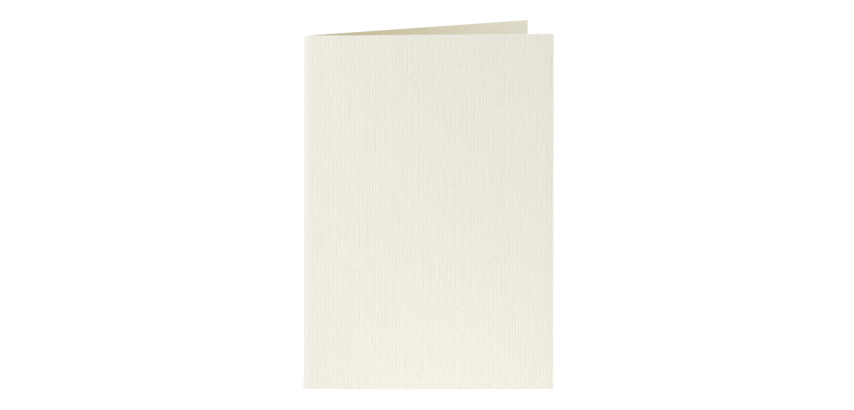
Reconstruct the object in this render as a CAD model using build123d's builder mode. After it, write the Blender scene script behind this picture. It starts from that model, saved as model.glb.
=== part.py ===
from build123d import *
import os
from math import atan2, cos, degrees, radians, sin, sqrt

# Folded card: one rectangle of card stock, folded once down the middle and stood up on its
# lower edges. The fold runs along +Z at the left. The front leaf faces -Y, and the back leaf
# opens behind it. The origin is on the surface it stands on, under the middle of its box.

# ---- driving dimensions, in millimetres and degrees ------------------------------------
leaf_width = 105.0          # along the sheet, from the middle of the fold to a free edge
leaf_height = 150.0         # along the fold
sheet_thickness = 0.33      # thickness of the board over its ribs

back_leaf_angle = 25.9      # the back leaf's direction, measured from +X
front_angle_foot = 0.8      # the front leaf's direction where the card stands
front_angle_head = 4.9      # and at its top, where it has eased back towards the other leaf
front_bow_foot = -0.85      # bow of the front leaf out of flat at its foot, - is forwards
front_bow_head = 0.35       # and at its head, + is towards the back leaf

crease_radius = 1.0         # outside of the crease
crease_inner_radius = 0.75  # inside of it: the score leaves the board a little thicker here
shoulder_radius = 12.0      # soft bend of each leaf beside the crease, on its outer face
shoulder_turn = 11.0        # how far each shoulder turns


def heading(angle):
    """Unit vector in the plane of a section, at this angle from +X."""
    return Vector(cos(radians(angle)), sin(radians(angle)))


def fold_section(plane, centre, front_angle, front_bow):
    """Section of the fold and the front leaf on one plane, as a sketch.

    Each face is one tangent chain from the middle of the fold: crease and shoulder on the
    back leaf's side, crease, shoulder and leaf on the front's. Returned with it are the two
    corners, outer and inner, from which the flat back leaf goes on, and its length.
    """
    half_sheet = sheet_thickness / 2
    run_guess = leaf_width - 3.2
    bow_turn = degrees(8 * front_bow / run_guess)     # turn of the leaf's shallow arc
    front_lead = front_angle + bow_turn / 2           # where the leaf leaves its shoulder
    half_turn = (180 - (back_leaf_angle - front_lead)) / 2
    crease_turn = half_turn - shoulder_turn
    fold_angle = 180 + (front_lead + back_leaf_angle) / 2   # the fold points this way

    # the leaf beyond its shoulder, so that the sheet's middle measures leaf_width
    run = (leaf_width
           - (crease_radius - half_sheet) * radians(crease_turn)
           - (shoulder_radius - half_sheet) * radians(shoulder_turn))

    # the inner crease arc is tangent to both inner shoulder arcs
    reach = shoulder_radius - crease_radius
    gap = shoulder_radius - sheet_thickness - crease_inner_radius
    along = reach * cos(radians(crease_turn))
    inner_shift = along - sqrt(along ** 2 - (reach ** 2 - gap ** 2))
    inner_crease_turn = degrees(atan2(reach * sin(radians(crease_turn)), along - inner_shift))

    outer_start = centre + heading(fold_angle) * crease_radius
    inner_start = centre + heading(fold_angle) * (crease_inner_radius - inner_shift)

    with BuildSketch(plane) as section:
        with BuildLine():
            front_edge, back_joint = [], []
            for start, crease_r, turn_1, shoulder_r, out in (
                (outer_start, crease_radius, crease_turn, shoulder_radius, half_sheet),
                (inner_start, crease_inner_radius, inner_crease_turn,
                 shoulder_radius - sheet_thickness, -half_sheet),
            ):
                turn_2 = half_turn - turn_1
                # front leaf: turns to the left on its way out, then runs in a shallow arc
                crease = JernArc(start, heading(fold_angle + 90), crease_r, turn_1)
                shoulder = JernArc(crease @ 1, crease % 1, shoulder_r, turn_2)
                leaf_r = run / abs(radians(bow_turn)) - out * (1 if front_bow > 0 else -1)
                leaf = JernArc(shoulder @ 1, shoulder % 1, leaf_r, -bow_turn)
                # back leaf's side of the fold: the mirror image
                back_crease = JernArc(start, heading(fold_angle - 90), crease_r, -turn_1)
                back_shoulder = JernArc(back_crease @ 1, back_crease % 1, shoulder_r, -turn_2)
                front_edge.append(leaf @ 1)
                back_joint.append(back_shoulder @ 1)
            Line(*front_edge)     # the front leaf's square-cut free edge
            Line(*back_joint)
        make_face()
    return section.sketch, back_joint, run


def back_leaf_outline(joint, run):
    """The flat back leaf's outline, drawn in the current sketch."""
    reach = heading(back_leaf_angle) * run
    return Polyline(joint[0], joint[0] + reach, joint[1] + reach, joint[1], close=True)


# ---- where the fold stands: the box of everything gives the origin ----------------------
trial, trial_joint, trial_run = fold_section(Plane.XY, Vector(0, 0), front_angle_foot,
                                             front_bow_foot)
head_trial = fold_section(Plane.XY, Vector(0, 0), front_angle_head, front_bow_head)[0]
boxes = [trial.bounding_box(), head_trial.bounding_box()]
far_corners = [p + heading(back_leaf_angle) * trial_run for p in trial_joint]
low_x = min(b.min.X for b in boxes)
low_y = min(b.min.Y for b in boxes)
high_x = max([b.max.X for b in boxes] + [p.X for p in far_corners])
high_y = max([b.max.Y for b in boxes] + [p.Y for p in far_corners])
fold_centre = Vector(-(low_x + high_x) / 2, -(low_y + high_y) / 2)

# ---- the card --------------------------------------------------------------------------
foot, joint, back_run = fold_section(Plane.XY, fold_centre, front_angle_foot, front_bow_foot)
head = fold_section(Plane.XY.offset(leaf_height), fold_centre, front_angle_head,
                    front_bow_head)[0]

with BuildPart() as card:
    # the back leaf is flat and upright
    with BuildSketch(Plane.XY) as back_leaf:
        with BuildLine():
            back_leaf_outline(joint, back_run)
        make_face()
    extrude(amount=leaf_height)
    # the fold and the front leaf change evenly from foot to head: straight lines join the
    # two sections, so the sheet does not bend along its height
    with BuildSketch(Plane.XY) as foot_section:
        add(foot)
    with BuildSketch(Plane.XY.offset(leaf_height)) as head_section:
        add(head)
    loft(ruled=True)

card.part.label = "card"

os.makedirs("parts", exist_ok=True)
export_step(card.part, "parts/card.step")

box = card.part.bounding_box()
print("fold centre", tuple(round(v, 3) for v in (fold_centre.X, fold_centre.Y)))
print("box", [round(v, 3) for v in (box.min.X, box.min.Y, box.min.Z,
                                    box.max.X, box.max.Y, box.max.Z)])
print("volume", round(card.part.volume, 1), "faces", len(card.part.faces()),
      "solids", len(card.part.solids()))
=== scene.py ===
import math

import bpy
import numpy as np
from mathutils import Matrix, Vector


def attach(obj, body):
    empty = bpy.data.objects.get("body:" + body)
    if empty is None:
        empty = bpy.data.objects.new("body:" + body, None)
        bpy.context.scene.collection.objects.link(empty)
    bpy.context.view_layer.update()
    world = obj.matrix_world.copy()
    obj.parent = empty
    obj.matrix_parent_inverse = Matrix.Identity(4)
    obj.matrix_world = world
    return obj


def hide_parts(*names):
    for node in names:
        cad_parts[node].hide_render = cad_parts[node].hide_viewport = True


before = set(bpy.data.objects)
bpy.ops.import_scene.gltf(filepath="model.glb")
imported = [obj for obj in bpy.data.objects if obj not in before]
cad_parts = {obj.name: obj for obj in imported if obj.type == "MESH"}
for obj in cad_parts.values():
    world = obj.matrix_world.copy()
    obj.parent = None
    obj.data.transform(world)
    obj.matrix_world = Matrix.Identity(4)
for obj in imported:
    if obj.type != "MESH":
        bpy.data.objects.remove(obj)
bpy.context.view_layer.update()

MM = 0.001

# ---------------------------------------------------------------- the folded sheet's shape
# The same section as the solid: crease, shoulder and leaf on each side of the fold, at the
# foot and at the head, with straight lines between them. Lengths in millimetres.
LEAF_W, LEAF_H, SHEET_T = 105.0, 150.0, 0.33
BACK_ANGLE = 25.9
FOOT = (0.8, -0.85)         # front leaf's angle and bow
HEAD = (4.9, 0.35)
CREASE_R, CREASE_IN_R = 1.0, 0.75
SHOULDER_R, SHOULDER_TURN = 12.0, 11.0
FOLD = (-51.415, -22.461)   # the crease's centre

RIB_PITCH = 1.110           # mean distance between ribs
RIB_DEPTH = 0.095           # from a rib's top to the groove beside it
RIB_START = 1.7             # the first groove; the fold between is pressed smooth
RIB_FADE = (1.3, 3.2)       # the ribs rise to their full depth over this stretch
LIP = 0.045                 # the cut edges are this much rounded
LIP_AT = 0.06
FLAT_AT = 0.14              # from here on the face is flat and shades as such


def unit(angle):
    a = np.radians(angle)
    return np.stack([np.cos(a), np.sin(a)], -1)


def chain(angle, bow, inner):
    """The chain of arcs of one face at one height: for each side of the fold, a list of
    (start point, start heading, radius or None, signed turn, length along the sheet's middle)."""
    half_t = SHEET_T / 2
    bow_turn = math.degrees(8 * bow / (LEAF_W - 3.2))
    lead = angle + bow_turn / 2
    half_turn = (180 - (BACK_ANGLE - lead)) / 2
    crease_turn = half_turn - SHOULDER_TURN
    fold_angle = 180 + (lead + BACK_ANGLE) / 2
    crease_len = (CREASE_R - half_t) * math.radians(crease_turn)
    shoulder_len = (SHOULDER_R - half_t) * math.radians(SHOULDER_TURN)
    run = LEAF_W - crease_len - shoulder_len
    centre = np.array(FOLD)
    if inner:
        reach = SHOULDER_R - CREASE_R
        gap = SHOULDER_R - SHEET_T - CREASE_IN_R
        along = reach * math.cos(math.radians(crease_turn))
        shift = along - math.sqrt(along ** 2 - (reach ** 2 - gap ** 2))
        turn_1 = math.degrees(
            math.atan2(reach * math.sin(math.radians(crease_turn)), along - shift)
        )
        start = centre + unit(fold_angle) * (CREASE_IN_R - shift)
        r1, r2, out = CREASE_IN_R, SHOULDER_R - SHEET_T, -half_t
    else:
        turn_1 = crease_turn
        start = centre + unit(fold_angle) * CREASE_R
        r1, r2, out = CREASE_R, SHOULDER_R, half_t
    leaf_r = run / abs(math.radians(bow_turn)) - out * (1 if bow > 0 else -1)
    sides = {}
    for side in (1, -1):
        segments = [
            (r1, side * turn_1, crease_len),
            (r2, side * (half_turn - turn_1), shoulder_len),
        ]
        segments.append((leaf_r, -bow_turn, run) if side == 1 else (None, 0.0, run))
        point, heading = start, fold_angle + 90 * side
        placed = []
        for radius, turn, length in segments:
            placed.append((point, heading, radius, turn, length))
            if radius is None:
                point = point + unit(heading) * length
            else:
                chord = 2 * radius * math.sin(math.radians(abs(turn)) / 2)
                point = point + unit(heading + turn / 2) * chord
                heading = heading + turn
        sides[side] = placed
    return sides


def on_chain(sides, breaks, s):
    """Points and outward normals of one face for sheet positions s, + on the front leaf."""
    points, normals = np.zeros((len(s), 2)), np.zeros((len(s), 2))
    for side in (1, -1):
        mine = (s >= 0) if side == 1 else (s < 0)
        a = np.abs(s)
        low = 0.0
        for (start, heading, radius, turn, length), high in zip(sides[side], breaks):
            here = mine & (a >= low) & ((a < high) if high < LEAF_W else (a <= high + 1e-9))
            part = (a[here] - low) / (high - low)
            if radius is None:
                points[here] = start + unit(heading)[None] * (part * length)[:, None]
                angle = np.full(part.shape, heading)
            else:
                chord = 2 * radius * np.sin(np.radians(np.abs(turn) * part) / 2)
                points[here] = start + unit(heading + turn * part / 2) * chord[:, None]
                angle = heading + turn * part
            normals[here] = unit(angle - 90 * side)
            low = high
    return points, normals


chains = {
    (inner, level): chain(*(FOOT, HEAD)[level], inner)
    for inner in (False, True)
    for level in (0, 1)
}
mean_crease = np.mean([chains[False, k][1][0][4] for k in (0, 1)])
mean_shoulder = chains[False, 0][1][1][4]
BREAKS = (mean_crease, mean_crease + mean_shoulder, LEAF_W)


def surface(s, z, inner):
    """Points and outward normals on one face: s and z are 1-D, the result is (z, s, 3)."""
    (p0, n0), (p1, n1) = (on_chain(chains[inner, k], BREAKS, s) for k in (0, 1))
    w = (z / LEAF_H)[:, None, None]
    flat = p0 * (1 - w) + p1 * w
    normal = n0 * (1 - w) + n1 * w
    normal /= np.linalg.norm(normal, axis=-1, keepdims=True)
    height = np.broadcast_to(z[:, None, None], flat.shape[:2] + (1,))
    return (
        np.concatenate([flat, height], -1),
        np.concatenate([normal, np.zeros_like(height)], -1),
    )


# ---------------------------------------------------------------- the ribs
rng = np.random.default_rng(417)
PHASES = np.array([0.0, 0.2, 0.4, 0.6, 0.8])
PROFILE = np.array([0.0, 0.52, 1.0, 1.0, 0.52])
MEAN_DEPTH = 1 - PROFILE.mean()


def rib_columns():
    """Sheet positions of the grid's columns on one leaf, with each one's rib and profile."""
    s, rib, height = [], [], []
    position, number = RIB_START, 0
    while position < LEAF_W - FLAT_AT:
        pitch = RIB_PITCH * (1 + np.clip(rng.normal(0, 0.085), -0.2, 0.2))
        for phase, level in zip(PHASES, PROFILE):
            where = position + phase * pitch
            if where < LEAF_W - FLAT_AT - 0.05:
                s.append(where)
                rib.append(number)
                height.append(level)
        position += pitch
        number += 1
    last = height[-1]
    for where in (LEAF_W - FLAT_AT, LEAF_W - LIP_AT, LEAF_W):
        s.append(where)
        rib.append(rib[-1])
        height.append(last)
    return np.array(s), np.array(rib), np.array(height), number


def smooth_noise(z, knots, spread):
    """A smooth random line over the card's height."""
    at = np.linspace(-2, LEAF_H + 2, knots)
    values = rng.normal(0, spread, knots)
    where = np.clip((z + 2) / (LEAF_H + 4) * (knots - 1), 0, knots - 1.001)
    k = where.astype(int)
    t = where - k
    t = t * t * (3 - 2 * t)
    return values[k] * (1 - t) + values[k + 1] * t


ROWS = 92
z_rows = np.concatenate([[0.0, LIP_AT, FLAT_AT], np.linspace(0, LEAF_H, ROWS - 1)[1:-1],
                         [LEAF_H - FLAT_AT, LEAF_H - LIP_AT, LEAF_H]])
z_inner = np.concatenate([[0.0, LIP_AT, FLAT_AT], np.linspace(0, LEAF_H, 27)[1:-1],
                          [LEAF_H - FLAT_AT, LEAF_H - LIP_AT, LEAF_H]])
fold_columns = np.array([0.0, 0.16, 0.33, 0.5, 0.68, 0.86, 1.05, 1.28, 1.6])

leaves = {}
for side in (1, -1):
    s, rib, level, count = rib_columns()
    # rib by rib, and every other rib a little deeper
    depth = 1 + np.clip(rng.normal(0, 0.09, count), -0.25, 0.25) + 0.11 * (-1.0) ** np.arange(count)
    wander = np.stack([smooth_noise(z_rows, 10, 0.06) + smooth_noise(z_rows, 36, 0.05)
                       for _ in range(count)], 1)
    uneven = np.stack([smooth_noise(z_rows, 8, 0.12) + smooth_noise(z_rows, 26, 0.25)
                       + smooth_noise(z_rows, 74, 0.42) for _ in range(count)], 1)
    rise = np.clip((s - RIB_FADE[0]) / (RIB_FADE[1] - RIB_FADE[0]), 0, 1)
    strength = np.clip(depth[rib][None] * (1 + uneven[:, rib]), 0.05, 1.75)
    # how far a point lies below the rib tops, in millimetres
    below = RIB_DEPTH * ((1 - level)[None] * (0.6 + 0.4 * strength)) * rise[None]
    # and how much deeper or higher it lies than the middle of its own rib
    groove = ((1 - level) - MEAN_DEPTH)[None] * strength * rise[None]
    shift = wander[:, rib] * rise[None] * (s < LEAF_W - 0.8)[None]
    bare = np.zeros((len(z_rows), len(fold_columns)))
    leaves[side] = (np.concatenate([fold_columns, s]),
                    *(np.concatenate([bare, a], 1) for a in (below, groove, shift)))

s_front, below_front, groove_front, shift_front = leaves[1]
s_back, below_back, groove_back, shift_back = leaves[-1]
s_out = np.concatenate([-s_back[::-1], s_front[1:]])
below = np.concatenate([below_back[:, ::-1], below_front[:, 1:]], 1)
groove = np.concatenate([groove_back[:, ::-1], groove_front[:, 1:]], 1)
shift = np.concatenate([-shift_back[:, ::-1], shift_front[:, 1:]], 1)

# the sheet is not a perfect plane: a very slight unevenness that both faces share
wave_terms = [
    (rng.uniform(0.5, 2.4), rng.uniform(0.5, 2.6), rng.uniform(0, 6.283), rng.uniform(0.006, 0.016))
    for _ in range(9)
]


def unevenness(s, z):
    total = np.zeros((len(z), len(s)))
    for a, b, c, amount in wave_terms:
        total += amount * np.sin(
            2 * math.pi * (a * s[None] / 105 + b * z[:, None] / 150) + c
        )
    calm = np.clip((np.abs(s) - 2) / 12, 0, 1)
    return total * calm[None]


def lip(s, z):
    """How far the face turns in at the sheet's cut edges."""
    ends = (z < 1e-9) | (z > LEAF_H - 1e-9)
    sides = np.abs(s) > LEAF_W - 1e-9
    return LIP * (ends[:, None] | sides[None]).astype(float)


def smooth_step(value, low, high):
    t = np.clip((value - low) / (high - low), 0, 1)
    return t * t * (3 - 2 * t)


def trim(s, z):
    """The sheet was cut a hair out of square, and its corners and the fold's ends are a little
    worn: how far a point lies further along the sheet, further up and further out than on an
    exact rectangle."""
    foot = 1 - smooth_step(z, 0, 5)
    free = (smooth_step(s, LEAF_W - 12, LEAF_W)[None]
            * (0.09 - 0.15 * z / LEAF_H + 0.14 * foot)[:, None])
    out = 0.20 * (1 - smooth_step(np.abs(s), 0.8, 3.5))[None] * foot[:, None]
    high = 0.12 * (1 - smooth_step(s, 30, 80)) + 0.10 * (1 - smooth_step(s, 4, 14))
    worn = 0.18 * (1 - smooth_step(-s, 1.5, 6))
    front = smooth_step(s, -0.8, 0.8)
    rise = ((high * front - worn * (1 - front))[None]
            * smooth_step(z, LEAF_H - 1.6, LEAF_H - 0.3)[:, None])
    return free, rise, out


def moved(points, normals, s, z, inner):
    ahead, _ = surface(np.clip(s + 0.05, -LEAF_W, LEAF_W), z, inner)
    behind, _ = surface(np.clip(s - 0.05, -LEAF_W, LEAF_W), z, inner)
    along = ahead - behind
    along /= np.linalg.norm(along, axis=-1, keepdims=True)
    free, rise, out = trim(s, z)
    points = points + along * free[..., None] + normals * out[..., None]
    return points + np.array([0, 0, 1.0]) * rise[..., None], along


def outer_points(s, z, below, shift):
    """The ribbed outer face: its points moved along the sheet by shift and inwards by below."""
    points, normals = surface(s, z, False)
    points, along = moved(points, normals, s, z, False)
    push = unevenness(s, z) - below - lip(s, z)
    return points + along * shift[..., None] + normals * push[..., None]


def inner_points(s, z):
    """The smooth inner face. Its normals point into the sheet, like the outer face's."""
    points, normals = surface(s, z, True)
    points = moved(points, normals, s, z, True)[0]
    return points + normals * (unevenness(s, z) + lip(s, z))[..., None]


outer = outer_points(s_out, z_rows, below, shift)
half = np.concatenate([[0.0, 0.22, 0.5, 0.8, 1.15, 1.7, 2.4, 3.2], np.linspace(4.2, 104, 35),
                       [LEAF_W - FLAT_AT, LEAF_W - LIP_AT, LEAF_W]])
s_in = np.concatenate([-half[::-1], half[1:]])
inner = inner_points(s_in, z_inner)

# ---------------------------------------------------------------- one closed mesh
MAP = 232.0            # the bake map's side, in millimetres of sheet at full scale
verts = []
faces = []
face_kind = []         # 0 ribbed outside, 1 smooth inside, 2 cut edge
bake_uv = []           # one pair for each corner
vert_rib = []          # + in a groove, - on a rib
vert_uv = []           # place on the unrolled sheet, metres
sheet_at = []          # the same in millimetres


def add_grid(points, s, z, depth):
    first = len(verts)
    rows, cols = points.shape[:2]
    for j in range(rows):
        for i in range(cols):
            verts.append(points[j, i] * MM)
            vert_rib.append(depth[j, i])
            vert_uv.append((s[i] * MM, z[j] * MM))
            sheet_at.append((s[i], z[j]))
    return first + np.arange(rows * cols).reshape(rows, cols)


def add_face(corners, kind, to_map):
    faces.append(corners)
    face_kind.append(kind)
    bake_uv.extend(to_map(c) for c in corners)


def outer_map(c):
    return ((sheet_at[c][0] + LEAF_W + 2) / MAP, (sheet_at[c][1] + 2) / MAP)


def inner_map(c):
    return ((0.5 * (sheet_at[c][0] + LEAF_W) + 2) / MAP, (0.5 * sheet_at[c][1] + 155) / MAP)


def edge_map(row, axis, inner_first):
    """Cut edges lie beside the inner face, each a strip 3 mm wide."""
    reach = LEAF_W if axis == 0 else 0.0

    def to_map(c):
        across = 3.0 if c >= inner_first else 0.0
        return ((0.5 * (sheet_at[c][axis] + reach) + 115) / MAP, (160 + 8 * row + across) / MAP)

    return to_map


outer_index = add_grid(outer, s_out, z_rows, groove)
inner_first = len(verts)
inner_index = add_grid(inner, s_in, z_inner, np.zeros(inner.shape[:2]))


def kind_of(j, i, rows, cols, kind):
    """The outermost quads are the rounding of the cut edge, and belong to it."""
    return 2 if j in (0, rows - 2) or i in (0, cols - 2) else kind


for j in range(len(z_rows) - 1):
    for i in range(len(s_out) - 1):
        add_face((outer_index[j, i], outer_index[j, i + 1],
                  outer_index[j + 1, i + 1], outer_index[j + 1, i]),
                 kind_of(j, i, len(z_rows), len(s_out), 0), outer_map)
for j in range(len(z_inner) - 1):
    for i in range(len(s_in) - 1):
        add_face((inner_index[j, i], inner_index[j + 1, i],
                  inner_index[j + 1, i + 1], inner_index[j, i + 1]),
                 kind_of(j, i, len(z_inner), len(s_in), 1), inner_map)


def zip_edge(first, first_at, second, second_at, flip, to_map):
    """Triangles that join two runs of vertices over the same stretch of a cut edge."""
    i = j = 0
    while i < len(first) - 1 or j < len(second) - 1:
        step_first = j == len(second) - 1 or (
            i < len(first) - 1 and first_at[i + 1] <= second_at[j + 1]
        )
        if step_first:
            tri = (first[i], first[i + 1], second[j])
            i += 1
        else:
            tri = (first[i], second[j + 1], second[j])
            j += 1
        add_face(tri[::-1] if flip else tri, 2, to_map)


zip_edge(outer_index[-1], s_out, inner_index[-1], s_in, False, edge_map(0, 0, inner_first))
zip_edge(outer_index[0], s_out, inner_index[0], s_in, True, edge_map(1, 0, inner_first))
zip_edge(outer_index[:, 0], z_rows, inner_index[:, 0], z_inner, False,
         edge_map(2, 1, inner_first))
zip_edge(outer_index[:, -1], z_rows, inner_index[:, -1], z_inner, True,
         edge_map(3, 1, inner_first))

mesh = bpy.data.meshes.new("card_sheet")
mesh.from_pydata([tuple(v) for v in verts], [], faces)
mesh.validate(verbose=False)
card = bpy.data.objects.new("card_sheet", mesh)
bpy.context.scene.collection.objects.link(card)

uv = mesh.uv_layers.new(name="sheet")
loop_vert = np.zeros(len(mesh.loops), np.int32)
mesh.loops.foreach_get("vertex_index", loop_vert)
uv.data.foreach_set("uv", np.array(vert_uv, np.float32)[loop_vert].ravel())
bake_layer = mesh.uv_layers.new(name="OFBake")
bake_layer.data.foreach_set("uv", np.array(bake_uv, np.float32).ravel())
rib_layer = mesh.attributes.new("groove", "FLOAT", "POINT")
rib_layer.data.foreach_set("value", np.array(vert_rib, np.float32))
mesh.polygons.foreach_set("material_index", np.array(face_kind, np.int32))
mesh.polygons.foreach_set("use_smooth", np.array([k != 2 for k in face_kind], bool))
mesh.update()


# ---------------------------------------------------------------- paper
def new_material(name):
    mat = bpy.data.materials.new(name)
    mat.use_nodes = True
    nt = mat.node_tree
    nt.nodes.clear()
    out = nt.nodes.new("ShaderNodeOutputMaterial")
    bsdf = nt.nodes.new("ShaderNodeBsdfPrincipled")
    nt.links.new(bsdf.outputs[0], out.inputs[0])
    return mat, nt, bsdf


def node(nt, kind, **settings):
    n = nt.nodes.new(kind)
    for key, value in settings.items():
        setattr(n, key, value)
    return n


def sheet_coordinates(nt, scale):
    """The unrolled sheet's coordinates in millimetres, stretched by scale."""
    uvn = node(nt, "ShaderNodeUVMap", uv_map="sheet")
    mul = node(nt, "ShaderNodeVectorMath", operation="MULTIPLY")
    nt.links.new(uvn.outputs[0], mul.inputs[0])
    mul.inputs[1].default_value = scale
    return mul.outputs[0]


def noise(nt, scale, detail=2.0, rough=0.5):
    n = node(nt, "ShaderNodeTexNoise", noise_dimensions="3D")
    n.inputs["Scale"].default_value = 1.0
    n.inputs["Detail"].default_value = detail
    n.inputs["Roughness"].default_value = rough
    nt.links.new(sheet_coordinates(nt, scale), n.inputs["Vector"])
    return n.outputs["Fac"]


def math_node(nt, op, a, b=None, c=None, clamp=False):
    n = node(nt, "ShaderNodeMath", operation=op, use_clamp=clamp)
    for socket, value in zip(n.inputs, (a, b, c)):
        if value is None:
            continue
        if isinstance(value, (int, float)):
            socket.default_value = value
        else:
            nt.links.new(value, socket)
    return n.outputs[0]


def mix_colour(nt, factor, a, b, blend="MIX"):
    n = node(nt, "ShaderNodeMix", data_type="RGBA", blend_type=blend)
    if isinstance(factor, (int, float)):
        n.inputs[0].default_value = factor
    else:
        nt.links.new(factor, n.inputs[0])
    for socket, value in ((n.inputs[6], a), (n.inputs[7], b)):
        if isinstance(value, tuple):
            socket.default_value = value
        else:
            nt.links.new(value, socket)
    return n.outputs[2]


def ramp_node(nt, value, low, high, at_low=0.0, at_high=1.0):
    n = node(nt, "ShaderNodeMapRange", interpolation_type="SMOOTHSTEP")
    nt.links.new(value, n.inputs["Value"])
    for key, v in (("From Min", low), ("From Max", high), ("To Min", at_low), ("To Max", at_high)):
        n.inputs[key].default_value = v
    return n.outputs[0]


def from_fold(nt):
    """Distance from the fold and height over the lower edge, along the sheet, in millimetres."""
    split = node(nt, "ShaderNodeSeparateXYZ")
    nt.links.new(sheet_coordinates(nt, (1000, 1000, 1)), split.inputs[0])
    return math_node(nt, "ABSOLUTE", split.outputs["X"]), split.outputs["Y"]


RIB_TOP = (0.921, 0.9035, 0.838, 1.0)
RIB_TOP_FREE = (0.9090, 0.9055, 0.827, 1.0)  # the same towards the free edges, slightly greener and darker: a painted tint of the light on that side
GROOVE_FIBRE_AND_SHADE = (0.790, 0.7525, 0.657, 1.0)     # darker, yellower colour in the grooves: partly the fibre's own colour, partly painted shade inside the grooves
PRESSED = (0.884, 0.868, 0.812, 1.0)       # the fold, where the ribs are pressed flat
# Painted shade on the smooth side: darker and yellower towards the fold, where the V between the leaves holds
# the light back, and a little darker again at the free edge. The score line is painted near white to lift its
# shade. Only the side's overall yellower tint is its own colour.
INSIDE_SCORE = (0.960, 0.950, 0.915, 1.0)   # the smooth side: in the score line,
INSIDE_CREASE = (0.884, 0.845, 0.680, 1.0)  # next to it,
INSIDE_FOLD = (0.836, 0.792, 0.535, 1.0)    # where the leaf begins,
INSIDE_LEAF = (0.918, 0.887, 0.757, 1.0)    # on the open part of the leaf
INSIDE_EDGE = (0.880, 0.864, 0.746, 1.0)    # and at its free edge
# the cut edge's colour, also used for the painted highlight along the upper and lower rims
CUT = (0.930, 0.922, 0.880, 1.0)
FLECK = (0.45, 0.40, 0.30, 1.0)


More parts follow.
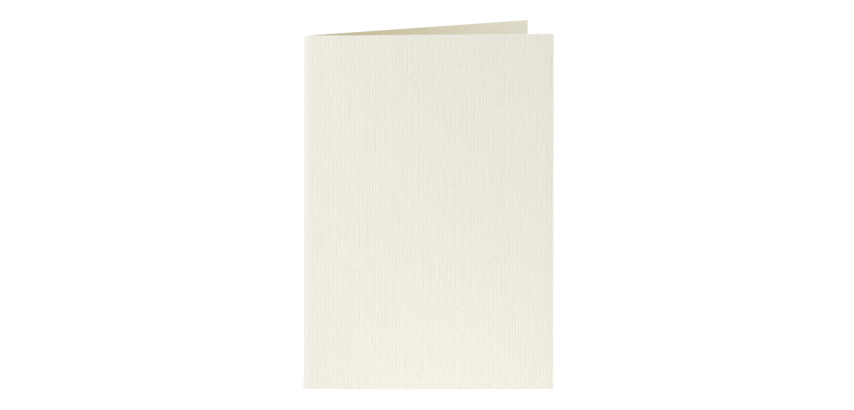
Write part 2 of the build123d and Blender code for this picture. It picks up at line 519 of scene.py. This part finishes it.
def paper(name, kind):
    mat, nt, bsdf = new_material(name)
    cloud = noise(nt, (95, 70, 1), 3.0, 0.55)             # cloudiness of the stock, about 10 mm
    tooth = noise(nt, (6500, 6500, 1), 2.0, 0.6)          # paper tooth, about 0.15 mm
    felt = noise(nt, (1900, 1250, 1), 3.0, 0.6)           # felt mark, 0.6 to 0.9 mm
    if kind == "ribbed":
        groove = node(nt, "ShaderNodeAttribute", attribute_name="groove").outputs["Fac"]
        # streaks along the ribs, 1 to 3 mm long and half a rib wide
        streak = noise(nt, (2000, 420, 1), 3.0, 0.6)
        # the same ribs are deeper in some places than in others
        chop = noise(nt, (1300, 800, 1), 2.0, 0.6)
        # painted shade: the grooves are mixed towards the darker groove colour, partly the fibre's own colour
        # and partly the shade inside the grooves
        lines = math_node(nt, "MULTIPLY", groove, math_node(nt, "MULTIPLY_ADD", chop, 2.1, -0.48))
        away, up = from_fold(nt)
        ribbed = ramp_node(nt, away, 1.2, 2.8)
        loose = math_node(nt, "ADD",
                          math_node(nt, "MULTIPLY_ADD", streak, 0.70, -0.35),
                          math_node(nt, "MULTIPLY_ADD", felt, 1.20, -0.60))
        mask = math_node(nt, "ADD", math_node(nt, "ADD", lines, 0.45), loose, clamp=True)
        # painted light: the rib tops turn slightly greener and darker from 8 mm to 100 mm from the fold
        top = mix_colour(nt, ramp_node(nt, away, 8.0, 100.0), RIB_TOP, RIB_TOP_FREE)
        colour = mix_colour(nt, mask, top, GROOVE_FIBRE_AND_SHADE)
        band = mix_colour(nt, math_node(nt, "MULTIPLY", felt, 0.16), PRESSED, GROOVE_FIBRE_AND_SHADE)
        colour = mix_colour(nt, ribbed, band, colour)
        # painted shade: over its last 2.5 mm the free edge is mixed a little towards the darker groove colour
        colour = mix_colour(nt, ramp_node(nt, away, 100.5, 103.0, 0.0, 0.16), colour, GROOVE_FIBRE_AND_SHADE)
        # painted highlight: within 0.8 mm of the upper and lower cut edges the face is mixed up to halfway
        # towards the light cut-edge colour
        rim = math_node(nt, "MINIMUM", up, math_node(nt, "SUBTRACT", LEAF_H, up))
        colour = mix_colour(nt, ramp_node(nt, rim, 0.0, 0.8, 0.5, 0.0), colour, CUT)
    elif kind == "smooth":
        away, _ = from_fold(nt)
        # painted shade: the colour steps from the score line through the crease and the fold to the open leaf
        # and the free edge, standing for the light inside the V
        colour = mix_colour(nt, ramp_node(nt, away, 5.0, 85.0), INSIDE_FOLD, INSIDE_LEAF)
        colour = mix_colour(nt, ramp_node(nt, away, 6.0, 50.0), INSIDE_CREASE, colour)
        colour = mix_colour(nt, ramp_node(nt, away, 84.0, 103.0), colour, INSIDE_EDGE)
        colour = mix_colour(nt, ramp_node(nt, away, 2.8, 7.5), INSIDE_SCORE, colour)
        colour = mix_colour(nt, math_node(nt, "MULTIPLY", felt, 0.10), colour, GROOVE_FIBRE_AND_SHADE)
    else:
        colour = mix_colour(nt, math_node(nt, "MULTIPLY", tooth, 0.30), CUT, GROOVE_FIBRE_AND_SHADE)
    shade = math_node(nt, "MULTIPLY_ADD", cloud, 0.5, 0.0)
    colour = mix_colour(nt, shade, colour, (0.992, 0.991, 0.987, 1.0), "MULTIPLY")
    fleck = noise(nt, (900, 760, 1), 1.0, 0.5)
    spot = math_node(nt, "GREATER_THAN", fleck, 0.775)
    colour = mix_colour(nt, math_node(nt, "MULTIPLY", spot, 0.30), colour, FLECK)
    nt.links.new(colour, bsdf.inputs["Base Color"])
    rough = math_node(nt, "MULTIPLY_ADD", tooth, 0.10, 0.82)
    nt.links.new(rough, bsdf.inputs["Roughness"])
    bsdf.inputs["Specular IOR Level"].default_value = 0.28
    bump1 = node(nt, "ShaderNodeBump")
    bump1.inputs["Strength"].default_value = 1.0
    bump1.inputs["Distance"].default_value = 0.006 * MM if kind != "edge" else 0.02 * MM
    nt.links.new(tooth, bump1.inputs["Height"])
    bump2 = node(nt, "ShaderNodeBump")
    bump2.inputs["Strength"].default_value = 1.0
    bump2.inputs["Distance"].default_value = (0.035 if kind == "ribbed" else 0.012) * MM
    nt.links.new(felt if kind != "ribbed" else streak, bump2.inputs["Height"])
    nt.links.new(bump1.outputs[0], bump2.inputs["Normal"])
    if kind == "ribbed":
        bump3 = node(nt, "ShaderNodeBump")
        bump3.inputs["Strength"].default_value = 1.0
        bump3.inputs["Distance"].default_value = 0.030 * MM
        nt.links.new(felt, bump3.inputs["Height"])
        nt.links.new(bump2.outputs[0], bump3.inputs["Normal"])
        nt.links.new(bump3.outputs[0], bsdf.inputs["Normal"])
    else:
        nt.links.new(bump2.outputs[0], bsdf.inputs["Normal"])
    return mat


for name, kind in (("card_ribbed_face", "ribbed"), ("card_smooth_face", "smooth"),
                   ("card_cut_edge", "edge")):
    mesh.materials.append(paper(name, kind))

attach(card, "root")
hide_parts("card")

# ---------------------------------------------------------------- floor
FLOOR_GLOW = 0.632     # a white table lit from below, so nothing on it casts a grey patch
floor_mesh = bpy.data.meshes.new("floor")
R = 12.0
ring = [(R * math.cos(a), R * math.sin(a), -0.00002) for a in np.linspace(0, 2 * math.pi, 96, endpoint=False)]
floor_mesh.from_pydata(ring, [], [tuple(range(96))])
floor = bpy.data.objects.new("floor", floor_mesh)
bpy.context.scene.collection.objects.link(floor)
mat, nt, bsdf = new_material("floor_white")
bsdf.inputs["Base Color"].default_value = (0.50, 0.50, 0.50, 1)
bsdf.inputs["Roughness"].default_value = 0.9
bsdf.inputs["Specular IOR Level"].default_value = 0.0
bsdf.inputs["Emission Color"].default_value = (1, 1, 1, 1)
bsdf.inputs["Emission Strength"].default_value = FLOOR_GLOW
floor_mesh.materials.append(mat)

# ---------------------------------------------------------------- light
world = bpy.data.worlds.new("studio")
bpy.context.scene.world = world
world.use_nodes = True
wt = world.node_tree
wt.nodes.clear()
wo = wt.nodes.new("ShaderNodeOutputWorld")
bg = wt.nodes.new("ShaderNodeBackground")
wt.links.new(bg.outputs[0], wo.inputs[0])
coords = wt.nodes.new("ShaderNodeTexCoord")
split = wt.nodes.new("ShaderNodeSeparateXYZ")
wt.links.new(coords.outputs["Generated"], split.inputs[0])


def ramp(value, low, high, at_low, at_high):
    """A smooth step from at_low to at_high; either may be another ramp's output."""
    n = wt.nodes.new("ShaderNodeMapRange")
    n.interpolation_type = "SMOOTHSTEP"
    wt.links.new(value, n.inputs["Value"])
    for key, v in (("From Min", low), ("From Max", high), ("To Min", at_low), ("To Max", at_high)):
        if isinstance(v, (int, float)):
            n.inputs[key].default_value = v
        else:
            wt.links.new(v, n.inputs[key])
    return n.outputs[0]


# a pale room: white at the floor's far edge, brighter on the right than on the left
SKY_LEFT, SKY_RIGHT, SKY_TOP, SKY_LOW = 0.553, 0.80, 0.372, 1.05
sides_sky = ramp(split.outputs["X"], -0.35, 0.35, SKY_LEFT, SKY_RIGHT)
dome = ramp(split.outputs["Z"], 0.72, 0.95, sides_sky, SKY_TOP)
sky = ramp(split.outputs["Z"], 0.0, 0.06, SKY_LOW, dome)
wt.links.new(sky, bg.inputs["Strength"])
bg.inputs["Color"].default_value = (1, 1, 1, 1)


def direction(azimuth, elevation):
    """Azimuth 0 is in front of the card, 90 to its right."""
    a, e = math.radians(azimuth), math.radians(elevation)
    return Vector((math.sin(a) * math.cos(e), -math.cos(a) * math.cos(e), math.sin(e)))


def place(name, lamp, position, aim):
    o = bpy.data.objects.new(name, lamp)
    o.rotation_mode = "QUATERNION"
    o.rotation_quaternion = (position - aim).to_track_quat("Z", "Y")
    o.location = position
    o.visible_camera = False
    bpy.context.scene.collection.objects.link(o)
    return o


def sun(name, azimuth, elevation, strength, angle):
    lamp = bpy.data.lights.new(name, "SUN")
    lamp.energy, lamp.angle = strength, math.radians(angle)
    return place(name, lamp, direction(azimuth, elevation) * 2, Vector())


def soft_panel(name, position, aim, size, power):
    lamp = bpy.data.lights.new(name, "AREA")
    lamp.shape, lamp.size, lamp.energy = "DISK", size, power
    return place(name, lamp, Vector(position), Vector(aim))


def soft_spot(name, position, aim, radius, cone, power):
    lamp = bpy.data.lights.new(name, "SPOT")
    lamp.shadow_soft_size, lamp.spot_size, lamp.spot_blend = radius, math.radians(cone), 1.0
    lamp.energy = power
    return place(name, lamp, Vector(position), Vector(aim))


sun("overhead", 0, 88, 0.59, 50)
sun("key_left", -80, 12, 0.09, 20)
soft_spot("foot_above", (0.012, -0.60, 0.70), (0.012, -0.12, 0.0), 0.05, 12, 5.9)
soft_spot("foot_front", (0.10, -1.50, 0.12), (0.040, -0.02, -0.05), 0.10, 14, 8.4)
soft_panel("fill_left", (-0.22, -0.16, 0.18), (0.0, -0.02, 0.10), 0.12, 0.098)

# ---------------------------------------------------------------- camera
cam_data = bpy.data.cameras.new("camera")
cam = bpy.data.objects.new("camera", cam_data)
bpy.context.scene.collection.objects.link(cam)
bpy.context.scene.camera = cam
CAM_DIST, CAM_ELEV, CAM_ROLL, CAM_F = 4.0, 9.625, 0.148, 9548.1
TARGET = Vector((FOLD[0] + 50.619, FOLD[1], 78.494)) * MM
e = math.radians(CAM_ELEV)
back = Vector((0, -math.cos(e), math.sin(e)))
right = Vector((1, 0, 0))
up = Vector((0, math.sin(e), math.cos(e)))
roll = math.radians(CAM_ROLL)
right_r = right * math.cos(roll) + up * math.sin(roll)
up_r = up * math.cos(roll) - right * math.sin(roll)
rot = Matrix((right_r, up_r, back)).transposed().to_4x4()
cam.matrix_world = Matrix.Translation(TARGET + back * CAM_DIST) @ rot
cam_data.sensor_width = 36.0
cam_data.lens = CAM_F / 854 * 36
cam_data.clip_start, cam_data.clip_end = 0.1, 40.0

scene = bpy.context.scene
scene.view_settings.view_transform = "Standard"
scene.view_settings.look = "None"
scene.view_settings.exposure = 0.0
scene.view_settings.gamma = 1.0
scene.cycles.max_bounces = 16
scene.cycles.diffuse_bounces = 12
